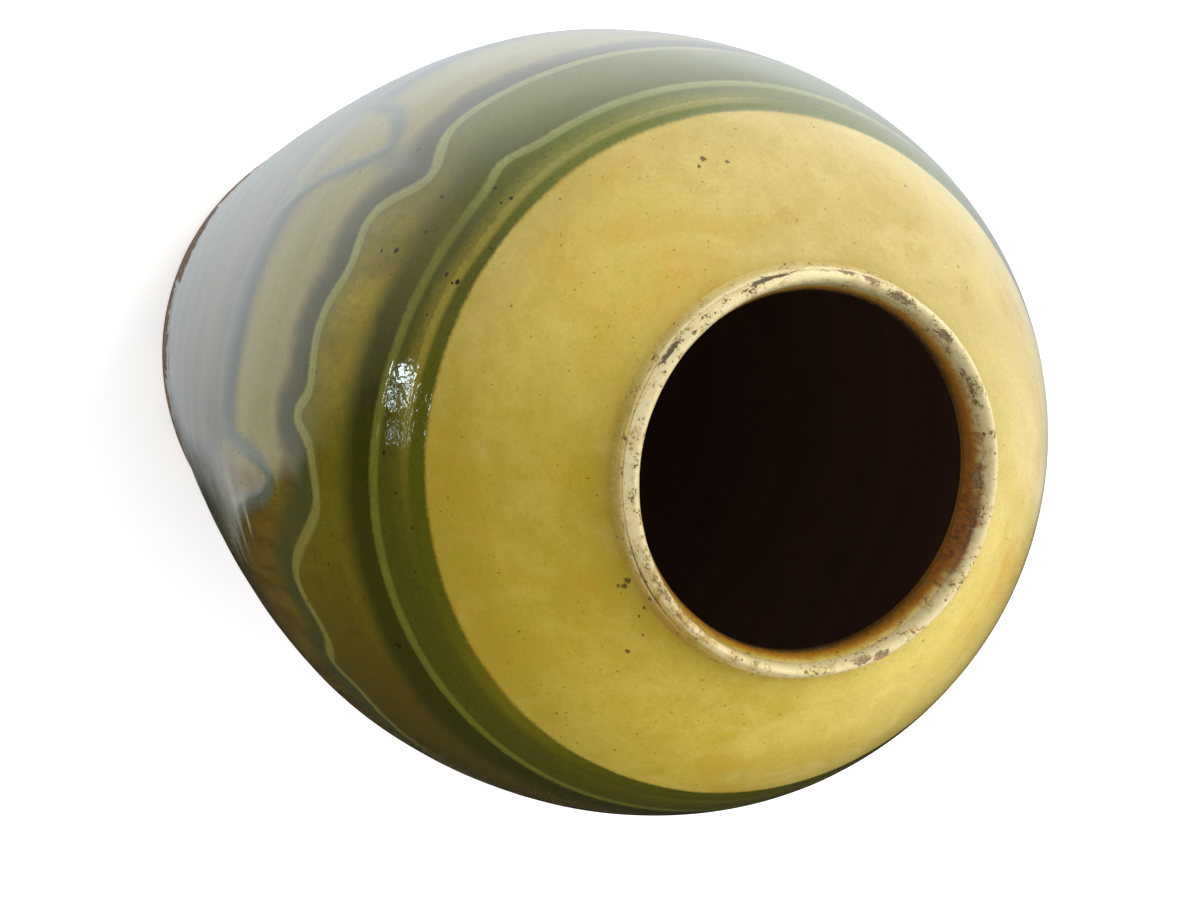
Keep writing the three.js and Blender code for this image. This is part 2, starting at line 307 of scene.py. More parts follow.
class JarColours(bpy.types.PropertyGroup):
    """Colours of the glazes, the slip and the clay."""

    yellow: colour("Yellow", "Yellow glaze over the shoulder", 155, 135, 43)
    # painted light: this paler yellow is laid most on the side towards the key lamp, by the "pale"
    # field, and also at random in the glaze
    pale_and_lit_yellow: colour("Pale yellow", "Where the yellow glaze is thin", 180, 164, 104)
    yellow_burnt: colour("Burnt yellow", "Where the yellow glaze is thick", 157, 121, 36)
    green_strip: colour("Green strip", "Green glaze under the yellow edge", 72, 72, 13)
    upper_slip: colour("Upper slip", "Soft slip line under the yellow edge", 124, 112, 38)
    fresh: colour("Fresh olive", "Lighter green on the far side", 95, 103, 28)
    olive: colour("Olive", "Glaze between the two upper slip lines", 68, 66, 14)
    middle_slip: colour("Middle slip", "Clear pale green slip line", 97, 98, 34)
    dark_green: colour("Dark green", "Green glaze below the middle line", 48, 47, 8)
    mauve: colour("Mauve brown", "Thin purplish glaze beside the lines", 86, 81, 22)
    sunny: colour("Yellow olive", "Thin glaze between the middle and wavy lines", 132, 118, 26)
    # painted shade: the wavy slip line's colour on the jar's darker side, round azimuths 300 to 340
    shaded_slip: colour("Near slip", "Thinner slip on the dark side", 112, 105, 50)
    wavy_slip: colour("Wavy slip", "Pale cream green slip line", 124, 127, 72)
    grey_green: colour("Grey green", "Band that follows the wavy line", 62, 64, 30)
    ochre: colour("Ochre", "Body glaze over bare clay", 98, 83, 26)
    low_body: colour("Low body", "Grey green glaze low on the body", 84, 86, 62)
    chalky: colour("Chalky", "Milky glaze where it has run thick", 134, 133, 119)
    low_band: colour("Low band", "Blue grey band round the low body", 66, 72, 64)
    brown: colour("Brown", "Body glaze where it has run thin", 70, 54, 12)
    tan: colour("Tan", "Pale slip showing through the body glaze", 126, 119, 66)
    grey_run: colour("Grey run", "Blue grey runs in the body glaze", 84, 92, 78)
    rust: colour("Rust", "Orange brown streaks", 142, 84, 24)
    plum: colour("Plum", "Purple stripe inside a run", 112, 88, 74)
    cream: colour("Cream", "Glaze on the lip", 213, 199, 154)
    throat: colour("Throat", "Glaze inside the mouth", 152, 101, 16)
    clay: colour("Clay", "Bare fired clay", 132, 104, 74)
    clay_dark: colour("Dark clay", "Burnt or dirty clay", 84, 62, 42)
    stained: colour("Stained", "Rusty stain inside the mouth", 98, 50, 20)
    chipped: colour("Chipped", "Bare greyish clay in the lip's chips", 140, 118, 84)
    # besides real dirt, this colour is also painted shade deep inside the mouth and at the top of
    # the lining
    dirt_and_shade: colour("Dirt", "Dirt in chips and grooves", 44, 34, 14)
    inside: colour("Inside", "Dull lining inside the jar", 136, 104, 84)
    floor: colour("Floor", "Pale studio floor", 250, 250, 250)


# ---------------------------------------------------------------- outlines and relief


def smooth(value, low, high):
    """A smooth step from 0 at low to 1 at high."""
    share = np.clip((np.asarray(value, float) - low) / (high - low), 0, 1)
    return share * share * (3 - 2 * share)


def bell(value, centre, spread):
    """1 at the centre, falling away on both sides."""
    return np.exp(-(((value - centre) / spread) ** 2))


def away(azimuth, centre):
    """Degrees from the centre, from -180 to 180."""
    return (azimuth - centre + 180) % 360 - 180


def facing(azimuth, centre, spread):
    """A bell round an azimuth."""
    return bell(away(azimuth, centre), 0, spread)


def beside(azimuth, centre, low, high):
    """A smooth step over the degrees from an azimuth, on either side of it."""
    return smooth(np.abs(away(azimuth, centre)), low, high)


def wander(azimuth, start):
    """A slow hand-made wander round the jar, from about -1 to 1."""
    turn = np.radians(azimuth)
    return (
        0.4 * np.sin(3 * turn + start)
        + 0.3 * np.sin(7 * turn + 2.3 * start + 1)
        + 0.2 * np.sin(13 * turn + 3.1 * start + 2)
        + 0.15 * np.sin(29 * turn + 1.7 * start)
    )


def bezier(corners, steps=900):
    """Points along a cubic curve."""
    share = np.linspace(0, 1, steps)[:, None]
    left = 1 - share
    weights = left**3, 3 * left**2 * share, 3 * left * share**2, share**3
    return sum(weight * corner for weight, corner in zip(weights, np.array(corners, float)))


class WallFace:
    """One face of the wall from the foot to the neck."""

    def __init__(self, *places):
        foot, belly, top = np.array(places, float)
        below, above = belly[1] - foot[1], top[1] - belly[1]
        lean = below * FOOT_RUN * np.array([math.sin(FOOT_LEAN), math.cos(FOOT_LEAN)])
        slope = np.array([math.cos(SHOULDER_TOP_SLOPE), -math.sin(SHOULDER_TOP_SLOPE)])
        slope *= (belly[0] - top[0]) * SHOULDER_TOP_RUN
        low = bezier((foot, foot + lean, belly - (0, BELLY_FULLNESS_BELOW * below), belly))
        high = bezier((belly, belly + (0, SHOULDER_FULLNESS * above), top + slope, top))
        self.radii, self.heights = np.vstack([low, high[1:]]).T
        steps = np.hypot(np.diff(self.radii), np.diff(self.heights))
        self.lengths = np.concatenate([[0], np.cumsum(steps)])
        self.slopes = np.gradient(self.radii, self.heights)

    def radius(self, height):
        return np.interp(height, self.heights, self.radii)

    def length(self, height):
        return np.interp(height, self.heights, self.lengths)

    def outward(self, height):
        """How far the face's normal leans out and up."""
        slope = np.interp(height, self.heights, self.slopes)
        size = np.sqrt(1 + slope**2)
        return 1 / size, -slope / size

    def rows(self, low, high, coarse, fine=None, zone=None):
        """Heights from low to high, closer together inside the zone."""
        heights = np.linspace(low, high, 4000)
        spacing = np.full(len(heights), float(coarse))
        if zone:
            near = smooth(heights, zone[0] - 6, zone[0]) * smooth(heights, zone[1] + 6, zone[1])
            spacing = coarse + (fine - coarse) * near
        count = np.concatenate([[0], np.cumsum(np.diff(self.length(heights)) / spacing[1:])])
        wanted = np.linspace(0, count[-1], int(round(count[-1])) + 1)
        return np.interp(wanted, count, heights)


def wall_faces(sizes):
    """The wall's outside and inside faces."""
    foot, belly = sizes.foot_radius / MM, sizes.belly_radius / MM
    level = sizes.belly_height / MM
    outside = WallFace((foot, 0), (belly, level), (COLLAR_RADIUS, NECK_BASE))
    inside = WallFace(
        (foot - FOOT_WALL, 0), (belly - BELLY_WALL, level), (THROAT_RADIUS, NECK_BASE - THROAT_EDGE)
    )
    return outside, inside


def line_height(line, azimuth):
    """A slip line's height at an azimuth."""
    turn = np.radians(azimuth - line["highest"])
    height = NECK_BASE - line["drop"] + line["tilt"] * np.cos(turn)
    for centre, rise, spread in line["crests"]:
        height = height + rise * facing(azimuth, centre, spread)
    return height


def line_distance(line, azimuth, height, radius):
    """How far above a slip line a place is, measured to its nearest part."""
    step = 0.25
    rise = line_height(line, azimuth + step) - line_height(line, azimuth - step)
    slope = rise / (2 * np.radians(step) * radius)
    above = height - line_height(line, azimuth)
    square = above / np.sqrt(1 + slope**2)
    nearest = np.abs(above)
    for turn in np.linspace(-14, 14, 57):
        rise = height - line_height(line, azimuth + turn)
        nearest = np.minimum(nearest, np.hypot(rise, math.radians(turn) * radius))
    share = smooth(np.abs(square), 1.5, 4)
    return square + share * (nearest * np.sign(above) - square)


def hairpin_fields(azimuth, height):
    """Distance to the nearest hairpin run, and how far inside one a place is."""
    gap = np.full(np.shape(azimuth), HAIRPIN_REACH)
    inside = -gap
    per_degree = math.radians(1) * HAIRPIN_RADIUS
    for left, apex, right in HAIRPINS:
        legs = np.array([*left, apex, *right], float)
        knots = np.arange(len(legs))
        turn = np.linspace(0, len(legs) - 1, 12 * len(legs))
        path = np.stack([
            np.interp(turn, knots, away(legs[:, 0], apex[0])) * per_degree,
            np.interp(turn, knots, legs[:, 1]),
        ], -1)
        for _ in range(6):
            path[1:-1] = (path[:-2] + 2 * path[1:-1] + path[2:]) / 4
        across = away(azimuth, apex[0]) * per_degree
        near = (np.abs(across) < HAIRPIN_SIDES) & (height > HAIRPIN_LOWEST)
        near &= height < apex[1] + HAIRPIN_OVER
        place = np.stack([across[near], height[near]], -1)
        best = np.full(len(place), HAIRPIN_REACH)
        for start, step in zip(path[:-1], np.diff(path, axis=0)):
            share = np.clip(((place - start) @ step) / (step @ step), 0, 1)
            best = np.minimum(best, np.linalg.norm(place - start - share[:, None] * step, axis=1))
        lowest, top = path[:, 1].min(), path[:, 1].argmax()
        ended = 1 - smooth(place[:, 1], lowest, lowest + HAIRPIN_FADE)
        gap[near] = np.minimum(gap[near], best + 12 * ended)
        lefts = np.interp(place[:, 1], path[: top + 1, 1], path[: top + 1, 0])
        rights = np.interp(place[:, 1], path[top:][::-1, 1], path[top:][::-1, 0])
        within = np.minimum(place[:, 0] - lefts, rights - place[:, 0])
        within = np.minimum(within, apex[1] - place[:, 1])
        inside[near] = np.maximum(inside[near], within - 40 * ended)
    return gap, inside


def run_end(height):
    """How far round the milky glaze has run, in degrees, with its pointed drips."""
    end = np.interp(height, *zip(*RUN_END))
    for middle, reach, width in RUN_DRIPS:
        end = end + reach * bell(height, middle, width)
    return end


def wall_fields(azimuth, height, face):
    """What the glaze needs to know at each place on the wall."""

    def at(centre, spread):
        return facing(azimuth, centre, spread)

    def past(centre, low, high):
        return smooth(away(azimuth, centre), low, high)

    def level(low, high):
        return smooth(height, low, high)

    radius = face.radius(height)
    gap, within = hairpin_fields(azimuth, height)
    # painted light: how much brighter the yellow is made round azimuths 32, 80 and 243, where more
    # light is wanted
    thin = 0.6 * at(32, 62) + 0.06 * at(350, 30) + 0.2 * at(80, 35) + 0.24 * at(243, 32)
    sunny = 1.15 * at(263, 19) + 0.45 * at(308, 18) + 0.7 * at(30, 24) + 0.8 * at(110, 22)
    upper = past(232, -46, -30) * past(232, 62, 30) + 0.2 * at(290, 12) + 0.6 * at(70, 60)
    fields = {
        "edge": height - YELLOW_EDGE - 0.35 * wander(azimuth, 0.4),
        "along": face.length(height),
        "lining": np.zeros(np.shape(height)),
        # painted light: "pale" is 1 on the side towards the key lamp (azimuth 140) and 0 on the
        # opposite side, and makes the yellow paler there
        "pale": 0.5 + 0.5 * np.cos(np.radians(azimuth - 140)),
        # painted shade in the crease where the collar meets the shoulder, all round
        "pooled": bell(height, NECK_BASE + 0.4, 1.9),
        "gap": gap,
        "within": within,
        # painted light and shade on the yellow: brighter by the share above, more so near the neck,
        # and a painted shade low on the side round azimuth 290
        "thin": thin * (0.5 + 0.5 * level(304, 324))
        - 0.1 * level(320, 304) * beside(azimuth, 290, 72, 50),
        "puckered": at(277, 9) * level(284, 289),
        "light_strip": at(330, 17),
        "fresh": beside(azimuth, 192, 64, 30),
        "browned": past(340, -52, -20) * past(340, 50, 25) * level(280, 262),
        "sunny": np.clip(sunny, 0, 1),
        "upper_strength": np.clip(upper, 0.05, 1),
        "milky": 1 - smooth(away(azimuth, run_end(height)), -2.5, 1) * past(345, 8, -6),
        "purplish": np.clip(0.7 * at(250, 13) + 0.6 * at(70, 25), 0, 1),
        "stem": at(242.5, 2.4) * level(233, 240)
        + 0.6 * at(352, 2.4) * level(209, 216)
        + 0.6 * at(48, 2.2) * level(220, 226),
        "rust": at(299, 1.8) * level(206, 222) * level(252, 240)
        + 0.7 * at(18, 2.2) * level(180, 205)
        + 0.6 * at(140, 2.4) * level(170, 200),
        "chalky": past(295, -5, 4) * past(330, 4, -8) * level(214, 205) * level(150, 188),
        "plum": at(293, 1.5) * level(228, 222) * level(168, 192),
        "patch": past(281.5, -9.5, -7) * past(281.5, 10, 7) * level(277, 279.5) * level(285.5, 284),
        "shaded": past(286, -12, 12) * past(345, 10, -5),
    }
    for name, line in SLIP_LINES.items():
        distance = line_distance(line, azimuth, height, radius)
        fields[name.removeprefix("slip_line_") + "_line"] = distance
    fields["upper_line"] = fields["upper_line"] + 1.5 * at(257, 9)
    return fields


def relief(sizes, azimuth, height, fields):
    """How far the fired outside stands in from the drawn outline, below zero."""
    turn, along = np.radians(azimuth), fields["along"]
    ripple = (
        0.1 * np.sin(math.tau * along / 15.7 + 0.7 * np.sin(turn + 0.4))
        + 0.7 * np.sin(math.tau * along / 31 + 0.8 * np.sin(turn + 1))
    )
    out_of_round = np.cos(2 * turn - 1.2) + 0.6 * np.cos(3 * turn + 0.5)
    settled = smooth(height, 9, 26) * smooth(height, NECK_BASE, NECK_BASE - 12)
    rise = sizes.ripple_depth / MM * ripple + (out_of_round - 1.6) * sizes.wobble / MM
    rise = rise - SEAM_GROOVE * bell(height, SEAM_HEIGHT, 3)
    rise = rise + YELLOW_THICKNESS * smooth(fields["edge"], -0.8, 0.4) - YELLOW_THICKNESS
    rise = rise + RUN_THICKNESS * bell(fields["gap"], 0, 2)
    return (rise - OUTLINE_ROOM) * settled


# ---------------------------------------------------------------- meshes


def turned_mesh(name, grid, fields, closed=True, poles=()):
    """A smooth mesh over a grid of points that runs along a section and round the axis."""
    rows, turns = grid.shape[:2]
    here = np.arange(rows * turns).reshape(rows, turns)
    beside_it = np.roll(here, -1, axis=1)
    quads = np.stack(
        [here, beside_it, np.roll(beside_it, -1, axis=0), np.roll(here, -1, axis=0)], -1
    )
    faces = quads[: rows if closed else rows - 1].reshape(-1, 4).tolist()
    points = grid.reshape(-1, 3)
    if poles:
        first, last = rows * turns, rows * turns + 1
        faces += [(first, b, a) for a, b in zip(here[0], beside_it[0])]
        faces += [(a, b, last) for a, b in zip(here[-1], beside_it[-1])]
        points = np.vstack([points, np.array(poles, float)])
    mesh = bpy.data.meshes.new(name)
    mesh.from_pydata((points * MM).tolist(), [], faces)
    mesh.polygons.foreach_set("use_smooth", np.ones(len(mesh.polygons), bool))
    mesh.set_sharp_from_angle(angle=SHARP_ANGLE)
    for key, values in fields.items():
        spread = np.broadcast_to(values, (rows, turns)).reshape(-1)
        if poles:
            spread = np.concatenate([spread, [spread[0], spread[-1]]])
        attribute = mesh.attributes.new(key, "FLOAT", "POINT")
        attribute.data.foreach_set("value", spread.astype(np.float32))
    mesh.update()
    return mesh


def stand_for(node, mesh, finish):
    """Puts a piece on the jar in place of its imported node."""
    piece = bpy.data.objects.new(node + "_fired", mesh)
    bpy.context.scene.collection.objects.link(piece)
    mesh.materials.append(shared_materials()[finish])
    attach(piece, "root")
    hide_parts(node)


def azimuths(count):
    """Even steps round the jar, in degrees."""
    return np.linspace(0, 360, count, endpoint=False)[None, :]


def around(radius, azimuth, height):
    """Points at a radius, azimuth in degrees and height."""
    radius, turn, height = np.broadcast_arrays(radius, np.radians(azimuth), height)
    return np.stack([radius * np.cos(turn), radius * np.sin(turn), height], -1)


def along_section(section):
    """Lengths along a section, in a column."""
    return np.concatenate([[0], np.cumsum(np.hypot(*np.diff(section, axis=0).T))])[:, None]


def outside_points(sizes, face, azimuth, height, fields, extra=0.0):
    """Points on the fired outside, raised by an extra height along the wall's normal."""
    out, up = face.outward(height)
    rise = relief(sizes, azimuth, height, fields) + extra
    return around(face.radius(height) + rise * out, azimuth, height + rise * up)


def inside_points(face, azimuth, height):
    """Points on the inside, with the spiral left by the potter's fingers."""
    settled = smooth(height, 12, 30) * smooth(height, 330, 318)
    spiral = np.sin(math.tau * face.length(height) / SPIRAL_PITCH + np.radians(azimuth))
    out, up = face.outward(height)
    rise = SPIRAL_DEPTH * (spiral + 1) * settled * smooth(np.abs(height - SEAM_HEIGHT), 0, 2)
    return around(face.radius(height) + rise * out, azimuth, height + rise * up)


def wall_mesh(sizes, name, outer, inner):
    """A wall section from rows of heights up the outside and down the inside."""
    outside, inside = wall_faces(sizes)
    azimuth = azimuths(sizes.turns)
    turned, heights = np.broadcast_arrays(azimuth, outer[:, None])
    fields = wall_fields(turned, heights, outside)
    shell = outside_points(sizes, outside, turned, heights, fields)
    inner = inner[:, None]
    inner_height = np.minimum(inner, NECK_BASE - THROAT_EDGE)
    hollow = inside_points(inside, azimuth, inner_height)
    hollow[..., 2] += inner - inner_height
    lining = {
        "edge": 40, "gap": 40, "within": -30, "upper_line": 40, "middle_line": 40, "wavy_line": 40,
        # on the lining, "browned" marks the far side, round azimuth 92, where the painted shade at
        # the top of the inside is a darkened throat colour
        "lining": 1, "along": inner, "browned": facing(azimuth, 92, 46),
    }
    blank = np.zeros(hollow.shape[:2])
    joined = {
        key: np.vstack([value, blank + lining.get(key, 0)]) for key, value in fields.items()
    }
    return turned_mesh(name, np.vstack([shell, hollow]), joined)


def lower_wall_mesh(sizes):
    outside, inside = wall_faces(sizes)
    outer = outside.rows(DISC_TOP, SEAM_HEIGHT, LOWER_SPACING)
    inner = inside.rows(DISC_TOP, SEAM_HEIGHT, LINING_SPACING)[::-1]
    return wall_mesh(sizes, "lower_wall", outer, inner)


def upper_wall_mesh(sizes):
    outside, inside = wall_faces(sizes)
    outer = outside.rows(SEAM_HEIGHT, NECK_BASE, UPPER_SPACING, FINE_SPACING, FINE_ZONE)
    inner = inside.rows(SEAM_HEIGHT, NECK_BASE - THROAT_EDGE, LINING_SPACING)[::-1]
    return wall_mesh(sizes, "upper_wall", outer, np.concatenate([[NECK_BASE], inner]))


def base_disc_mesh(sizes):
    """The floor of the jar, with its recess underneath and its boss inside the wall."""
    outside, inside = wall_faces(sizes)
    azimuth = azimuths(sizes.turns // 2)
    foot, centre = sizes.foot_radius / MM, 3
    ring, floor_top = foot - FOOT_RING_WIDTH, DISC_TOP + DISC_BOSS_HEIGHT
    boss = inside.radius(DISC_TOP) - DISC_CLEARANCE
    recess = [(radius, FOOT_RECESS) for radius in np.linspace(centre, ring - FOOT_RECESS, 30)]
    slope = [(ring - FOOT_RECESS * left, FOOT_RECESS * left) for left in (1 - 0.4, 1 - 0.8)]
    land = [(radius, 0) for radius in np.linspace(ring, foot - FOOT_EDGE_BEVEL, 8)]
    edge = [(outside.radius(z), z) for z in np.linspace(FOOT_EDGE_BEVEL, DISC_TOP, 7)]
    floor = [(radius, floor_top) for radius in np.linspace(boss, centre, 20)]
    section = np.array([*recess, *slope, *land, *edge, (boss, DISC_TOP), *floor])
    radius, height = section[:, :1], section[:, 1:]
    under = (np.arange(len(section)) < len(recess))[:, None]
    spiral = np.sin(math.tau * radius / FLOOR_SPIRAL_PITCH - np.radians(azimuth))
    settled = smooth(radius, centre, 9) * smooth(radius, ring - 1, ring - 8)
    marks = FLOOR_SPIRAL_DEPTH * spiral * under * settled
    grid = around(radius, azimuth, height + marks)
    fields = {"along": along_section(section)}
    poles = ((0, 0, FOOT_RECESS), (0, 0, floor_top))
    return turned_mesh("base_disc", grid, fields, closed=False, poles=poles)


def arc(centre, run, rise, start, end, steps):
    """Points of an elliptical part turn in the section, between two angles in degrees."""
    angles = np.radians(np.linspace(start, end, steps))
    return np.stack([centre[0] + run * np.cos(angles), centre[1] + rise * np.sin(angles)], -1)


def mark_strength(points, marks):
    """How strongly each place is marked, for marks of a length round and a width across."""
    strength, dent = np.zeros((2, *points.shape[:2]))
    for azimuth, radius, height, long, wide, deep in marks:
        turn = math.radians(azimuth)
        offset = points - around(radius, azimuth, height)
        round_ = offset @ np.array([-math.sin(turn), math.cos(turn), 0])
        rest = np.sqrt(np.maximum((offset**2).sum(-1) - round_**2, 0))
        here = np.exp(-((round_ / long) ** 2 + (rest / wide) ** 2))
        strength = np.maximum(strength, here)
        dent = np.maximum(dent, deep * smooth(here, 0.3, 0.75))
    return strength, dent


def ring_mesh(name, section, turns, free):
    """A ring from a closed section, with chips let into it where it is free."""
    azimuth = azimuths(turns)
    radius, height = section[:, :1], section[:, 1:]
    grid = around(radius, azimuth, height)
    tangent = np.roll(section, -1, axis=0) - np.roll(section, 1, axis=0)
    tangent /= np.linalg.norm(tangent, axis=1)[:, None]
    normal = around(tangent[:, 1:], azimuth, -tangent[:, :1])
    chip, dent = mark_strength(grid, LIP_CHIPS)
    pins = [(*place, size * 0.8, size * 0.8, PINHOLE_DEPTH) for *place, size in LIP_PINHOLES]
    pin, prick = mark_strength(grid, pins)
    wave = -LIP_WAVE * (1 + wander(azimuth, 2.2))
    grid = grid + normal * ((wave - np.maximum(dent, prick)) * free[:, None])[..., None]
    lean = LIP_LEAN * smooth(height, NECK_BASE, COLLAR_TOP)[..., None]
    grid = grid + lean * np.array([math.cos(LIP_LEAN_SIDE), math.sin(LIP_LEAN_SIDE), 0])
    inner = (radius < LIP_CREST_RADIUS) & (height < LIP_TOP - 0.02)
    down = np.where(inner, LIP_TOP - height, 0)
    stain = facing(azimuth, 83, 15) + 0.35 * facing(azimuth, 118, 24)
    sooty = 0.9 * facing(azimuth, 315, 17) + 0.3 * facing(azimuth, 190, 18)
    near_worn = facing(azimuth, 278, 30) * smooth(height, COLLAR_TOP + 0.6, COLLAR_TOP - 0.6)
    right_worn = facing(azimuth, 335, 24) * smooth(height, LIP_TOP - 0.8, LIP_TOP - 2)
    fields = {
        "along": along_section(section) + 400,
        "chip": chip,
        "pinhole": pin,
        "down": down,
        "stain": stain * smooth(down, 0.6, 4.2),
        "groove": bell(height, COLLAR_TOP + 0.1, 0.4) * (radius > GROOVE_INNER_RADIUS),
        "sooty": np.clip(sooty, 0, 1),
        "warm": facing(azimuth, 332, 20),
        "burnt": beside(azimuth, 250, 72, 45),
        # how strong the painted shade deep in the mouth is: weaker on the far side, round azimuth
        # 92
        "dim": 1 - 0.6 * facing(azimuth, 92, 50),
        # painted light, as on the wall: "pale" makes the yellow paler on the side towards the key
        # lamp
        "pale": 0.5 + 0.5 * np.cos(np.radians(azimuth - 140)),
        # painted light on the collar's yellow, brighter round azimuths 32 and 243
        "thin": 0.55 * facing(azimuth, 32, 62) + 0.24 * facing(azimuth, 243, 32),
        # painted shade on the collar's lower part, round azimuth 285
        "pooled": smooth(height, COLLAR_TOP - 0.2, COLLAR_TOP - 2.6) * beside(azimuth, 285, 75, 35),
        "cream": smooth(height, NECK_BASE + 0.2, NECK_BASE + 2.6)
        * (1 - 0.85 * near_worn) * (1 - 0.85 * right_worn),
    }
    return turned_mesh(name, grid, fields)


def collar_section():
    """The collar runs out into the shoulder in a hollow curve, with a small bead on top."""
    base, top, outer = NECK_BASE, COLLAR_TOP, COLLAR_RADIUS
    hollow_top = base + COLLAR_HOLLOW_HEIGHT
    bead_rise = (top - hollow_top) / 2
    underside = [(radius, base) for radius in np.linspace(THROAT_RADIUS, outer, 4)]
    hollow = bezier((
        (outer, base + 0.02), (outer - 0.8, base + 0.4),
        (COLLAR_WAIST, base + 1.3), (COLLAR_WAIST, hollow_top),
    ), 14)
    bead = arc((COLLAR_WAIST, hollow_top + bead_rise), COLLAR_BEAD, bead_rise, -90, 90, 12)[1:]
    inner_top = THROAT_RADIUS + THROAT_TAPER
    inner = [
        (inner_top - THROAT_TAPER * share, top + (base - top) * share)
        for share in np.linspace(0, 0.875, 8)
    ]
    seat = [(radius, top) for radius in np.linspace(COLLAR_WAIST - 1.5, inner_top + 1.5, 3)]
    return np.array([*underside, *hollow, *bead, *seat, *inner])


def lip_section():
    """The lip is rounded over outside, and falls in a long curve to the throat inside."""
    inner = THROAT_RADIUS + THROAT_TAPER
    crest = inner + LIP_INNER_RUN
    widest = COLLAR_TOP + LIP_UNDERCUT
    underside = [(radius, COLLAR_TOP) for radius in np.linspace(inner, crest, 4)[:-1]]
    under = arc((crest, widest), LIP_OUTER_RUN, LIP_UNDERCUT, -90, 0, 10)
    over = arc((crest, widest), LIP_OUTER_RUN, LIP_TOP - widest, 0, 90, 16)[1:]
    fall = arc((crest, COLLAR_TOP), LIP_INNER_RUN, LIP_TOP - COLLAR_TOP, 90, 180, 20)[1:-1]
    return np.array([*underside, *under, *over, *fall])


def slip_line_mesh(sizes, name):
    """A raised line of slip that lies on the wall and follows it all the way round."""
    outside = wall_faces(sizes)[0]
    line = SLIP_LINES[name]
    azimuth = azimuths(line["steps"])[0]
    height = line_height(line, azimuth)
    centre = around(outside.radius(height), azimuth, height)
    out, up = outside.outward(height)
    tangent = np.roll(centre, -1, axis=0) - np.roll(centre, 1, axis=0)
    side = np.cross(around(out, azimuth, up), tangent)
    side /= np.linalg.norm(side, axis=1)[:, None]
    half = sizes.line_half_width / MM
    across = np.linspace(-half, half, 13)
    back = across[::-3]
    ridge = sizes.line_relief / MM * np.cos(math.pi * across / (2 * half)) ** 2 - LINE_SUNK
    width = 1 + LINE_WIDTH_WANDER * wander(azimuth, len(name))
    spread = np.concatenate([across, back])[:, None] * width
    place = centre + spread[..., None] * side
    round_ = np.degrees(np.arctan2(place[..., 1], place[..., 0])) % 360
    level = place[..., 2]
    fields = wall_fields(round_, level, outside)
    strength = 1 + LINE_HEIGHT_WANDER * wander(azimuth, 3.3 + len(name))
    buried = np.full((len(back), len(azimuth)), -LINE_BACK)
    extra = np.vstack([ridge[:, None] * strength, buried])
    return turned_mesh(name, outside_points(sizes, outside, round_, level, fields, extra), fields)


# ---------------------------------------------------------------- nodes


class Value:
    """What a node puts out, with the sums that further nodes do on it."""

    def __init__(self, board, socket):
        self.board, self.socket = board, socket

    def __add__(self, other):
        return self.board.maths("ADD", self, other)

    def __mul__(self, other):
        return self.board.maths("MULTIPLY", self, other)

    def __sub__(self, other):
        return self.board.maths("SUBTRACT", self, other)

    def __rsub__(self, other):
        return self.board.maths("SUBTRACT", other, self)

    def at_least(self, other):
        return self.board.maths("MAXIMUM", self, other)

    def step(self, low, high, start=0.0, end=1.0):
        """A smooth step from low to high, either way round."""
        settings = {"interpolation_type": "SMOOTHSTEP"}
        return self.board.give("ShaderNodeMapRange", settings, self, low, high, start, end)

    def band(self, half, soft):
        """1 up to half on both sides of 0, with soft edges."""
        return self.step(-half - soft, -half + soft) * self.step(half + soft, half - soft)


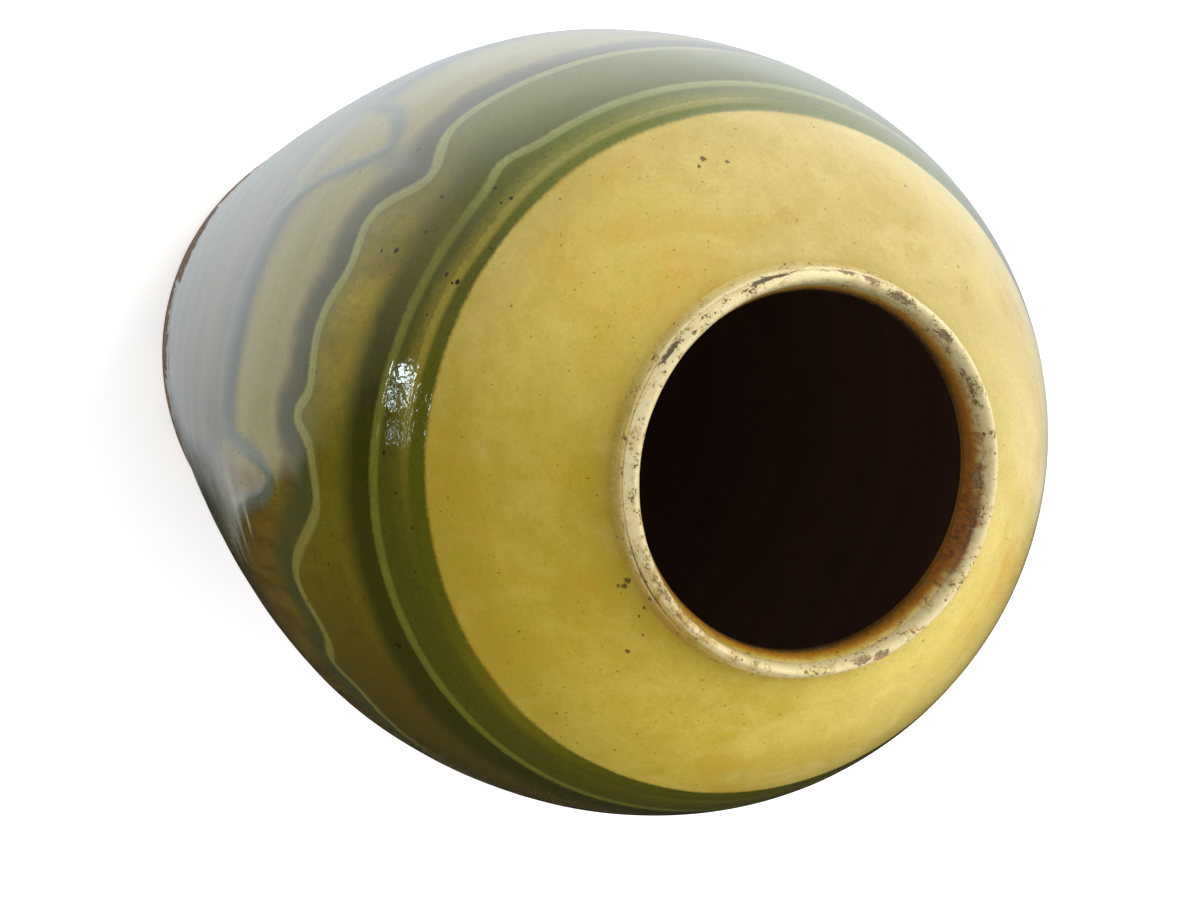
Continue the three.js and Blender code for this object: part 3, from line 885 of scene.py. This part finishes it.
class Board:
    """Places and joins the nodes of one tree."""

    def __init__(self, tree):
        self.tree = tree
        tree.nodes.clear()

    def join(self, source, socket):
        """Feeds a socket from a node, or sets its value."""
        if isinstance(source, Value):
            self.tree.links.new(source.socket, socket)
        elif socket.type == "RGBA" and len(source) == 3:
            socket.default_value = (*source, 1)
        else:
            socket.default_value = source

    def place(self, kind, settings=(), *values, **named):
        """A node, its inputs fed in order or by name, with an underscore for each space."""
        node = self.tree.nodes.new(kind)
        for key, value in dict(settings).items():
            setattr(node, key, value)
        for value, socket in zip(values, node.inputs):
            self.join(value, socket)
        for key, value in named.items():
            self.join(value, node.inputs[key.replace("_", " ")])
        return node

    def values(self, node):
        """A node's outputs by name."""
        return {socket.name: Value(self, socket) for socket in node.outputs}

    def give(self, kind, settings=(), *values, **named):
        """The first output of a new node."""
        return Value(self, self.place(kind, settings, *values, **named).outputs[0])

    def maths(self, operation, *values, clamp=False):
        settings = {"operation": operation, "use_clamp": clamp}
        return self.give("ShaderNodeMath", settings, *values)

    def mix(self, share, first, second, blend="MIX"):
        """A share of the second colour over the first."""
        node = self.place("ShaderNodeMix", {"data_type": "RGBA", "blend_type": blend}, share)
        self.join(first, node.inputs[6])
        self.join(second, node.inputs[7])
        return Value(self, node.outputs[2])

    def coats(self, tone, *coats):
        """A tone under further coats, each a share and a colour."""
        for share, over in coats:
            tone = self.mix(share, tone, over)
        return tone

    def shade(self, base, value):
        """A colour made darker or lighter by a value around 1."""
        grey = self.give("ShaderNodeCombineColor", (), value, value, value)
        return self.mix(1, base, grey, "MULTIPLY")

    def field(self, name):
        """A field that the mesh carries."""
        return self.values(self.place("ShaderNodeAttribute", {"attribute_name": name}))["Fac"]

    def on_jar(self, x=1, y=1, z=1):
        """The place on the jar in metres, stretched by a factor each way."""
        where = self.values(self.place("ShaderNodeTexCoord"))["Object"]
        return self.give("ShaderNodeVectorMath", {"operation": "MULTIPLY"}, where, (x, y, z))

    def parts(self, where):
        """The three parts of a place."""
        return self.values(self.place("ShaderNodeSeparateXYZ", (), where)).values()

    def along_wall(self, round_, along):
        """The place on the jar, with the way up the wall in place of the height."""
        x, y, _ = self.parts(self.on_jar(round_, round_))
        return self.give("ShaderNodeCombineXYZ", (), x, y, self.field("along") * along)

    def noise(self, scale, detail, roughness=0.5, distortion=0.0, where=None):
        """A noise on the jar, or at other places."""
        return self.give(
            "ShaderNodeTexNoise", Vector=where or self.on_jar(), Scale=scale, Detail=detail,
            Roughness=roughness, Distortion=distortion,
        )

    def torn(self, where, scale, reach):
        """Places pushed about by a fine noise, which gives ragged edges to what stands there."""
        push = self.place("ShaderNodeTexNoise", Vector=self.on_jar(), Scale=scale)
        settings = {"operation": "MULTIPLY_ADD"}
        push = self.values(push)["Color"]
        return self.give("ShaderNodeVectorMath", settings, push, (reach,) * 3, where)

    def bump(self, height, distance, **named):
        """A bump of a given depth in metres."""
        return self.give("ShaderNodeBump", Strength=1, Distance=distance, Height=height, **named)

    def effect(self, group, **values):
        """A shared effect with its own values; gives its outputs in their order."""
        node = self.tree.nodes.new("ShaderNodeGroup")
        node.node_tree = group
        for key, value in values.items():
            self.join(value, node.inputs[key.capitalize()])
        return [Value(self, socket) for socket in node.outputs]


def effect_group(name, inputs, outputs, kind="Float"):
    """A shader node group with sockets of one kind, its board, its inputs and its sink."""
    tree = bpy.data.node_groups.new(name, "ShaderNodeTree")
    for label, default in inputs.items():
        socket = tree.interface.new_socket(label, in_out="INPUT", socket_type="NodeSocket" + kind)
        socket.default_value = default
    for label in outputs:
        tree.interface.new_socket(label, in_out="OUTPUT", socket_type="NodeSocket" + kind)
    board = Board(tree)
    source = board.values(board.place("NodeGroupInput"))
    return tree, board, source, board.place("NodeGroupOutput").inputs


def glaze_specks():
    """Dark pinholes and ticks and a few pale grains caught in a glaze."""
    tree, board, source, sink = effect_group(
        "Glaze specks", {"Share": 0.3, "Size": 0.1, "Scale": 150}, ["Dark", "Pale"]
    )
    for label, flat, share in (("Dark", 0.7, 1.0), ("Pale", 0.83, 0.03)):
        where = board.torn(board.on_jar(1, 1, flat), 1300, 0.0007)
        cells = board.values(
            board.place("ShaderNodeTexVoronoi", Vector=where, Scale=source["Scale"])
        )
        split = board.values(board.place("ShaderNodeSeparateColor", (), cells["Color"]))
        chosen = board.maths("LESS_THAN", split["Red"], source["Share"] * share)
        size = source["Size"] * (split["Green"] * 1.1 + 0.35)
        board.join(cells["Distance"].step(size, size * 0.5) * chosen, sink[label])
    return tree


def placed_spots(wall):
    """The single marks in the wall's glaze, each a ragged dot at its own place."""
    tree, board, _, sink = effect_group("Placed spots", {}, ["Spot"])
    reach = 0.0011
    where = board.torn(board.on_jar(), 900, reach)
    total = 0.0
    for azimuth, height, half in WALL_SPOTS:
        centre = around(wall.radius(height), azimuth, height) * MM + reach / 2
        node = board.place("ShaderNodeVectorMath", {"operation": "DISTANCE"}, where, tuple(centre))
        spot = board.values(node)["Value"].step(half * MM * 1.25, half * MM * 0.7)
        total = spot.at_least(total)
    board.join(total, sink["Spot"])
    return tree


def throwing_marks():
    """Faint level ridges left by the potter's fingers, and the glaze's own slight waves."""
    tree, board, _, sink = effect_group("Throwing marks", {}, ["Height"])
    rings = board.noise(1, 1, 0.5, 0.25, board.along_wall(9, 0.05))
    swell = board.noise(1, 2, 0.5, 0, board.along_wall(46, 0.05))
    peel = board.noise(480, 1, 0.5, 0.6) * (board.field("puckered") + 0.012)
    board.join(rings * 0.15 + peel + swell * 0.22, sink["Height"])
    return tree


def glaze_mottle():
    """Clouds, vertical streaks, level drifts and fine grain in a glaze."""
    tree, board, _, sink = effect_group(
        "Glaze mottle", {}, ["Cloud", "Streak", "Level", "Grain"]
    )
    for label, round_, along, *noise in (
        ("Cloud", 26, 0.026, 4, 0.55, 0.6),
        ("Streak", 150, 0.02, 3, 0.6, 0.4),
        ("Level", 14, 0.06, 3, 0.6, 0.6),
    ):
        board.join(board.noise(1, *noise, board.along_wall(round_, along)), sink[label])
    board.join(board.noise(1000, 1, 0.6), sink["Grain"])
    return tree


def yellow_glaze(effects, colours):
    """The mottled yellow glaze of the shoulder, collar and throat."""
    tones = {
        "Yellow": (*colours.yellow, 1),
        "Pale": (*colours.pale_and_lit_yellow, 1),
        "Burnt": (*colours.yellow_burnt, 1),
    }
    tree, board, source, sink = effect_group("Yellow glaze", tones, ["Color"], "Color")
    cloud, _, level, grain = board.effect(effects["mottle"])
    small = board.noise(90, 5, 0.72, 0.4)
    thick = cloud.step(0.48, 0.66) * small.step(0.38, 0.6) * 0.5
    # the pale yellow's share: painted light from the "pale" field, plus random variation in the
    # glaze
    thin = board.field("pale") + (small - 0.5) * 0.7 + (0.5 - cloud) * 0.6
    thin = board.maths("ADD", thin, 0, clamp=True)
    tone = board.coats(source["Yellow"], (thin, source["Pale"]), (thick, source["Burnt"]))
    lifted = grain * 0.2 + level * 0.1 + small * 0.22 + 0.74
    # painted light and shade: the "thin" field brightens the yellow in places and darkens it in
    # others
    board.join(board.shade(tone, lifted * (board.field("thin") + 1)), sink["Color"])
    return tree


def fresh_material(name):
    """A new material with its board and its shader's node."""
    material = bpy.data.materials.new(name)
    material.use_nodes = True
    return material, Board(material.node_tree)


def finish_material(board, **looks):
    """Closes a material with its one shader."""
    shader = board.give("ShaderNodeBsdfPrincipled", **looks)
    board.place("ShaderNodeOutputMaterial", Surface=shader)


def wall_glaze(name, effects, colours):
    """The wall's glazes from the neck down to the foot, over its slip lines."""
    material, board = fresh_material(name)
    mix, shade, field = board.mix, board.shade, board.field
    cloud, streaks, levels, grain = board.effect(effects["mottle"])
    fine_dark, _ = board.effect(effects["specks"], share=0.8, size=0.12, scale=520)
    dark, pale = board.effect(effects["specks"], share=0.3, size=0.1, scale=250)
    blots = board.noise(190, 4, 0.65, 0.15)
    ragged, waver, fine = streaks - 0.5, cloud - 0.5, grain - 0.5
    milky, fresh, light_strip = field("milky"), field("fresh"), field("light_strip")
    edge = field("edge") + fine * 0.7
    upper = field("upper_line") + fine * 0.8
    middle = field("middle_line") + fine * 0.7
    wavy = field("wavy_line") + fine * 0.7
    loose_wavy = wavy + waver * 4 + ragged * 2
    _, _, ground = board.parts(board.on_jar(1000, 1000, 1000))
    rise = ground + waver * 9

    # the body below the wavy line, and the dark band that hangs under the line
    streak, level = streaks.step(0.3, 0.7), levels.step(0.34, 0.68)
    gap = field("gap") + ragged * 2.2 + fine * 1.2
    low = mix(cloud.step(0.36, 0.66) * 0.22, colours.low_body, colours.tan)
    body = board.coats(
        colours.ochre,
        (streak * 0.8, colours.brown),
        (loose_wavy.step(-7, -16) * milky * (level * 0.16 + 0.74), colours.tan),
        (rise.step(212, 192) * milky, low),
        (rise.step(186, 195) * rise.step(206, 197) * milky * 0.95, colours.low_band),
        (field("within").step(0, 3.5) * 0.6, colours.tan),
        (gap.step(4.6, 0.6) * 0.9, colours.grey_run),
        (field("chalky") * milky * 0.95, colours.chalky),
        (field("plum") * 0.6, colours.plum),
        (field("stem") * 0.7, colours.grey_run),
        (wavy.step(-0.6, -3.4) * loose_wavy.step(-17, -6) * 0.92, colours.grey_green),
        (field("rust") * 0.06, colours.rust),
        (field("stem") * 0.3, colours.grey_run),
    )

    # the glaze from the wavy line up to the yellow, thin in places and dark under the middle line
    olive = mix(fresh * 0.62, colours.olive, colours.fresh)
    between = board.coats(
        olive,
        (field("sunny") * (streak * 0.3 + 0.7) * cloud.step(0.1, 0.56), colours.sunny),
        (field("browned") * 0.65, colours.brown),
        (wavy.step(6.5, 1.4) * 0.5, colours.mauve),
    )
    hanging = middle + ragged * 3 + waver * 4 + light_strip * 3.2 + 1
    shady = board.coats(
        colours.dark_green, (fresh * 0.55, colours.fresh), (field("purplish"), colours.mauve)
    )
    strip = board.coats(
        colours.green_strip, (light_strip * 0.28, colours.sunny), (fresh * 0.7, colours.fresh)
    )
    blotted = blots.step(0.46, 0.7) * wavy.step(1, 5) * (1 - fresh * 0.6)
    tone = board.coats(
        body,
        (wavy.step(-0.5, 0.5), between),
        (hanging.step(-16, -6) * middle.step(0.2, -0.6) * 0.95, shady),
        (field("patch") * streak.step(0, 0.4), colours.dark_green),
        (middle.step(-0.6, 0.4), olive),
        (blotted * 0.26, colours.dirt_and_shade),
        (edge.step(-6.5, -2.6), strip),
    )

    # the three slip lines
    fade = upper.step(-6, -1.4) * upper.step(1.4, 0) * 0.5
    upper_show = upper.band(1.4, 0.9).at_least(fade) * field("upper_strength")
    wear = streak * 0.2 + blots.step(0.7, 0.3) * 0.2 + 0.6
    upper_tone = mix(fresh * 0.5, colours.upper_slip, colours.wavy_slip)
    middle_tone = mix(fresh.step(0, 0.7), colours.middle_slip, colours.wavy_slip)
    # painted shade: the wavy line darkened by the "shaded" field
    wavy_tone = mix(field("shaded") * 0.85, colours.wavy_slip, colours.shaded_slip)
    tone = board.coats(
        tone,
        (upper_show * blots.step(0.95, 0.5), upper_tone),
        (middle.band(1.5, 0.7) * wear, middle_tone),
        (wavy.band(1.8, 0.7) * wear, wavy_tone),
    )

    # grain, the yellow over the shoulder with a painted shade at the collar's root, then specks and
    # spots
    tone = shade(tone, grain * 0.4 + blots * 0.24 + levels * 0.12 + cloud * 0.12 + 0.56)
    (yellow,) = board.effect(effects["yellow"])
    yellow = board.coats(
        yellow,
        (edge.step(1.8, 0.1) * cloud.step(0.36, 0.6) * 0.55, colours.yellow_burnt),
        # painted shade at the collar's root, darkening the yellow towards yellow olive
        (field("pooled") * 0.15, colours.sunny),
    )
    over = edge.step(-0.5, 1)
    (placed,) = board.effect(effects["spots"])
    spots = (fine_dark * 0.7).at_least(dark * 0.8).at_least(placed) * (1 - over * 0.25)
    spot_tone = mix(over, shade(colours.dirt_and_shade, 0.5), colours.dirt_and_shade)

    # bare clay at the foot, and the lining inside, with a painted shade at its top
    foot = ground + ragged * 34 + waver * 26 + fine * 12
    bare = foot.step(BARE_EDGE + 1, BARE_EDGE - 1)
    lining = field("lining").step(0.3, 0.7)
    # painted shade at the top of the inside: the dirt_and_shade colour, and on the far side the
    # throat's glaze darkened
    brim = mix(field("browned"), colours.dirt_and_shade, shade(colours.throat, 0.7))
    dull = mix(ground.step(322, 330), shade(colours.inside, levels * 0.6 + 0.7), brim)
    tone = board.coats(
        tone,
        (over, yellow),
        (spots, spot_tone),
        (pale * 0.8, GLAZE_GRAIN),
        (bare, mix(grain.step(0.35, 0.7), colours.clay_dark, colours.clay)),
        (lining, dull),
    )
    (marks,) = board.effect(effects["marks"])
    pits = grain * (bare * 1.5 + 0.004)
    finish_material(
        board, Base_Color=tone, IOR=GLAZE_IOR,
        Roughness=(grain * 0.05 + 0.05).at_least(bare * 0.85).at_least(lining * 0.6),
        Normal=board.bump(pits, PIT_DEPTH, Normal=board.bump(marks, WAVE_DEPTH)),
    )
    return material


def lip_glaze(name, effects, colours):
    """Cream glaze on the lip and yellow on the collar, chipped, pinholed and stained."""
    material, board = fresh_material(name)
    mix, shade, field = board.mix, board.shade, board.field
    *_, grain = board.effect(effects["mottle"])
    fine_dark, _ = board.effect(effects["specks"], share=0.8, size=0.12, scale=420)
    dark, _ = board.effect(effects["specks"], share=0.5, size=0.13, scale=230)
    (yellow,) = board.effect(effects["yellow"])
    blotch, grit = board.noise(210, 4, 0.6, 0.5), board.noise(1300, 3, 0.65)
    streaky = board.noise(620, 3, 0.6, 0.3, board.on_jar(1, 1, 0.35))
    fine, warm = grain - 0.5, field("warm")
    cream = board.coats(
        colours.cream,
        (blotch.step(0.46, 0.7) * 0.55, yellow),
        (warm * blotch.step(0.4, 0.62) * 0.6, colours.yellow_burnt),
    )
    # deeper in the mouth the glaze runs to yellow, then to the throat's brown, then to a painted
    # shade
    down = field("down") + fine * 1.8 + blotch * 1.6
    tone = board.coats(
        yellow,
        (warm * 0.7, colours.yellow_burnt),
        (field("cream") * 0.92, cream),
        (down.step(3.6, 6.6), yellow),
        (down.step(5.2, 8.6), colours.throat),
        # painted shade deep in the mouth, weaker on the far side
        (down.step(8, 10.8) * field("dim"), colours.dirt_and_shade),
        # painted shade on the collar's lower part round azimuth 285, brown on the warm side
        (field("pooled") * 0.22, mix(warm, colours.sunny, colours.throat)),
    )
    stain = (field("stain") + streaky * 1.8 + blotch * 0.7).step(1.25, 2.1)
    groove = (field("groove") * field("sooty") + fine * 0.5).step(0.15, 0.75)
    chip = (field("chip") + (blotch - 0.5) * 1.3 + (grit - 0.5) * 1.5).step(0.14, 0.36)
    chip_tone = board.coats(
        colours.chipped,
        (field("burnt"), shade(colours.dirt_and_shade, 0.5)),
        (grit.step(0.44, 0.6) * 0.7, colours.clay_dark),
    )
    pin = (field("pinhole") + fine * 0.4).step(0.25, 0.6)
    spot = (pin * 0.7).at_least(fine_dark * 0.65).at_least(dark * 0.7)
    tone = board.coats(
        shade(tone, grit * 0.28 + blotch * 0.2 + 0.76),
        (stain * 0.9, mix(streaky.step(0.38, 0.6), colours.stained, colours.rust)),
        (groove * 0.8, colours.clay_dark),
        (chip * 0.88, chip_tone),
        (spot, mix(0.5, colours.dirt_and_shade, colours.clay_dark)),
    )
    rough = grain * 0.14 + spot * 0.3 + stain * 0.35 + 0.2
    rough = rough.at_least(chip * 0.7).at_least(down.step(3, 9, 0, 0.5))
    height = grit * 0.3 + blotch * 0.7 - spot * 0.8 - chip
    finish_material(
        board, Base_Color=tone, IOR=GLAZE_IOR, Roughness=rough,
        Normal=board.bump(height, WAVE_DEPTH),
    )
    return material


def foot_clay(name, effects, colours):
    """Unglazed fired clay under the foot, gritty, with darker burnt places."""
    material, board = fresh_material(name)
    _, _, level, _ = board.effect(effects["mottle"])
    dark, pale = board.effect(effects["specks"], share=0.6, size=0.16, scale=190)
    grit, blotch = board.noise(520, 5, 0.65), board.noise(42, 4, 0.6, 0.8)
    tone = board.mix(blotch.step(0.4, 0.66), colours.clay, colours.clay_dark)
    tone = board.coats(
        board.shade(tone, grit * 0.6 + 0.7),
        (dark * 0.6, colours.dirt_and_shade),
        (pale * 0.7, CLAY_GRAIN),
    )
    finish_material(
        board, Base_Color=tone, Roughness=grit * 0.25 + 0.72,
        Normal=board.bump(grit - dark + level * 0.6, CLAY_DEPTH),
    )
    return material


def shared_materials():
    """The shared effects and the finishes made from them, built once."""
    names = {"wall": "jar_wall_glaze", "lip": "jar_lip_glaze", "clay": "jar_foot_clay"}
    found = {key: bpy.data.materials.get(name) for key, name in names.items()}
    if all(found.values()):
        return found
    colours = bpy.context.scene.jar_colours
    effects = {"specks": glaze_specks(), "marks": throwing_marks(), "mottle": glaze_mottle()}
    effects["yellow"] = yellow_glaze(effects, colours)
    effects["spots"] = placed_spots(wall_faces(bpy.context.scene.jar_sizes)[0])
    makers = {"wall": wall_glaze, "lip": lip_glaze, "clay": foot_clay}
    return {key: make(names[key], effects, colours) for key, make in makers.items()}


# ---------------------------------------------------------------- stage


def build_floor(colours):
    """A plain pale floor with the faintest unevenness."""
    material, board = fresh_material("studio_floor")
    finish_material(
        board, Base_Color=board.shade(colours.floor, board.noise(3, 2) * 0.03 + 0.985),
        Roughness=0.9, Specular_IOR_Level=0.1, Emission_Color=(1, 1, 1), Emission_Strength=0.35,
    )
    mesh = bpy.data.meshes.new("floor")
    corners = [(x * FLOOR_HALF, y * FLOOR_HALF, 0) for x, y in ((-1, -1), (1, -1), (1, 1), (-1, 1))]
    mesh.from_pydata(corners, [], [(0, 1, 2, 3)])
    mesh.materials.append(material)
    floor = bpy.data.objects.new("floor", mesh)
    bpy.context.scene.collection.objects.link(floor)
    floor.visible_glossy = False


def build_world():
    """Soft white all round; the glaze reflects a bright side and a dark side of the studio."""
    world = bpy.data.worlds.new("studio")
    bpy.context.scene.world = world
    world.use_nodes = True
    board = Board(world.node_tree)
    direction = board.values(board.place("ShaderNodeTexCoord"))["Generated"]

    def towards(vector):
        settings = {"operation": "DOT_PRODUCT"}
        node = board.place("ShaderNodeVectorMath", settings, direction, vector)
        return board.values(node)["Value"]

    side, above = towards(CAMERA_UP), towards(CAMERA_BACK)
    torn = (board.noise(16, 5, 0.65, 0.6, direction) - 0.5) * 0.1
    limit = above.step(-1, -0.88, -0.005, -0.1) + above.step(-0.6, -0.3, 0, 0.1)
    limit = limit + above.step(-0.34, 0.05, 0, 0.3) * above.step(0.6, 0.3)
    soft_half = above.step(-0.5, -0.2, 0.04, 0.11)
    lit = (side + torn).step(limit - soft_half, limit + soft_half)
    climb = above.step(-0.9, -0.75, 1.75, 1.4) * above.step(-0.42, -0.15, 1, 0.43)
    climb = climb * above.step(-0.1, 0.15, 1, 0.6)
    sky = above.step(-0.66, -0.3, 0.6, 0.06) * above.step(-0.96, -0.8, 0.68, 1)
    sky = sky + climb * side.at_least(0)
    soft = board.give("ShaderNodeBackground", Color=STUDIO_WHITE, Strength=STUDIO_POWER)
    seen = board.give("ShaderNodeBackground", Color=GLOSS_WHITE, Strength=lit * sky + GLOSS_LEAST)
    glossy = board.values(board.place("ShaderNodeLightPath"))["Is Glossy Ray"]
    light = board.give("ShaderNodeMixShader", (), glossy, soft, seen)
    board.place("ShaderNodeOutputWorld", Surface=light)


def area_lamp(name, place, target, width, height, power):
    """A lamp that lights from a rectangle and faces a point."""
    lamp = bpy.data.lights.new(name, "AREA")
    lamp.shape = "RECTANGLE"
    lamp.size, lamp.size_y, lamp.energy = width, height, power
    thing = bpy.data.objects.new(name, lamp)
    thing.location = place
    thing.rotation_euler = (Vector(target) - thing.location).to_track_quat("-Z", "Y").to_euler()
    thing.visible_camera = False
    bpy.context.scene.collection.objects.link(thing)
    return thing


def build_lights():
    """A soft key lamp, and window panes that show only in the glaze."""
    key = area_lamp("key", KEY_PLACE, KEY_TARGET, KEY_SIZE, KEY_SIZE, KEY_POWER)
    key.visible_glossy = False
    start = Vector(WINDOW_TARGET)
    for name, turn, tilt, width, height, power in WINDOW_PANES:
        level = math.radians(tilt)
        ray = Vector(around(math.cos(level), turn, math.sin(level)))
        pane = area_lamp(name, start + WINDOW_DISTANCE * ray, start, width, height, power)
        pane.data.color = WINDOW_COLOUR
        pane.visible_diffuse = False


def build_camera():
    """The photograph's viewing angle."""
    camera = bpy.data.cameras.new("camera")
    camera.lens, camera.sensor_width, camera.sensor_fit = CAMERA_LENS, CAMERA_FILM, "HORIZONTAL"
    camera.clip_start, camera.clip_end = CAMERA_CLIPS
    seat = bpy.data.objects.new("camera", camera)
    axes = Matrix((CAMERA_RIGHT, CAMERA_UP, CAMERA_BACK)).transposed().to_4x4()
    seat.matrix_world = Matrix.Translation(CAMERA_PLACE) @ axes
    bpy.context.scene.collection.objects.link(seat)
    bpy.context.scene.camera = seat
    bpy.context.scene.view_settings.view_transform = "Standard"


# ---------------------------------------------------------------- operators and panel


class JAR_OT_base_disc(bpy.types.Operator):
    """Turn the base disc with its recess and foot ring"""

    bl_idname = "jar.base_disc"
    bl_label = "Base disc"

    def execute(self, context):
        stand_for("base_disc", base_disc_mesh(context.scene.jar_sizes), "clay")
        return {"FINISHED"}


class JAR_OT_walls(bpy.types.Operator):
    """Turn the lower and upper walls and glaze them"""

    bl_idname = "jar.walls"
    bl_label = "Walls"

    def execute(self, context):
        sizes = context.scene.jar_sizes
        stand_for("lower_wall", lower_wall_mesh(sizes), "wall")
        stand_for("upper_wall", upper_wall_mesh(sizes), "wall")
        return {"FINISHED"}


class JAR_OT_neck(bpy.types.Operator):
    """Turn the collar and the rolled lip, with the chips in its glaze"""

    bl_idname = "jar.neck"
    bl_label = "Collar and lip"

    def execute(self, context):
        collar, lip = collar_section(), lip_section()
        moving = smooth(lip[:, 1], COLLAR_TOP, COLLAR_TOP + 1)
        still = np.zeros(len(collar))
        for name, section, turns, free in (
            ("neck_collar", collar, COLLAR_TURNS, still), ("lip_roll", lip, LIP_TURNS, moving),
        ):
            stand_for(name, ring_mesh(name, section, turns, free), "lip")
        return {"FINISHED"}


class JAR_OT_slip_lines(bpy.types.Operator):
    """Trail the three raised lines of slip round the shoulder"""

    bl_idname = "jar.slip_lines"
    bl_label = "Slip lines"

    def execute(self, context):
        for name in SLIP_LINES:
            stand_for(name, slip_line_mesh(context.scene.jar_sizes, name), "wall")
        return {"FINISHED"}


class JAR_OT_stage(bpy.types.Operator):
    """Set up the floor, the soft light and the camera"""

    bl_idname = "jar.stage"
    bl_label = "Stage"

    def execute(self, context):
        build_floor(context.scene.jar_colours)
        build_world()
        build_lights()
        build_camera()
        return {"FINISHED"}


OPERATORS = (JAR_OT_base_disc, JAR_OT_walls, JAR_OT_neck, JAR_OT_slip_lines, JAR_OT_stage)


class JAR_PT_builder(bpy.types.Panel):
    """Builds the jar piece by piece"""

    bl_idname = "JAR_PT_builder"
    bl_label = "Jar"
    bl_space_type = "VIEW_3D"
    bl_region_type = "UI"
    bl_category = "Jar"

    def draw(self, context):
        for operator in OPERATORS:
            self.layout.operator(operator.bl_idname)
        for group in (context.scene.jar_sizes, context.scene.jar_colours):
            box = self.layout.box()
            for key in group.bl_rna.properties.keys():
                if key not in ("rna_type", "name"):
                    box.prop(group, key)


CLASSES = (JarSizes, JarColours, *OPERATORS, JAR_PT_builder)


def register():
    for each in CLASSES:
        bpy.utils.register_class(each)
    bpy.types.Scene.jar_sizes = PointerProperty(type=JarSizes)
    bpy.types.Scene.jar_colours = PointerProperty(type=JarColours)


def unregister():
    del bpy.types.Scene.jar_colours
    del bpy.types.Scene.jar_sizes
    for each in reversed(CLASSES):
        bpy.utils.unregister_class(each)


def main():
    register()
    for build in (
        bpy.ops.jar.base_disc, bpy.ops.jar.walls, bpy.ops.jar.neck, bpy.ops.jar.slip_lines,
        bpy.ops.jar.stage,
    ):
        if build() != {"FINISHED"}:
            raise RuntimeError(f"{build.idname()} didn't finish")


if __name__ == "__main__":
    main()
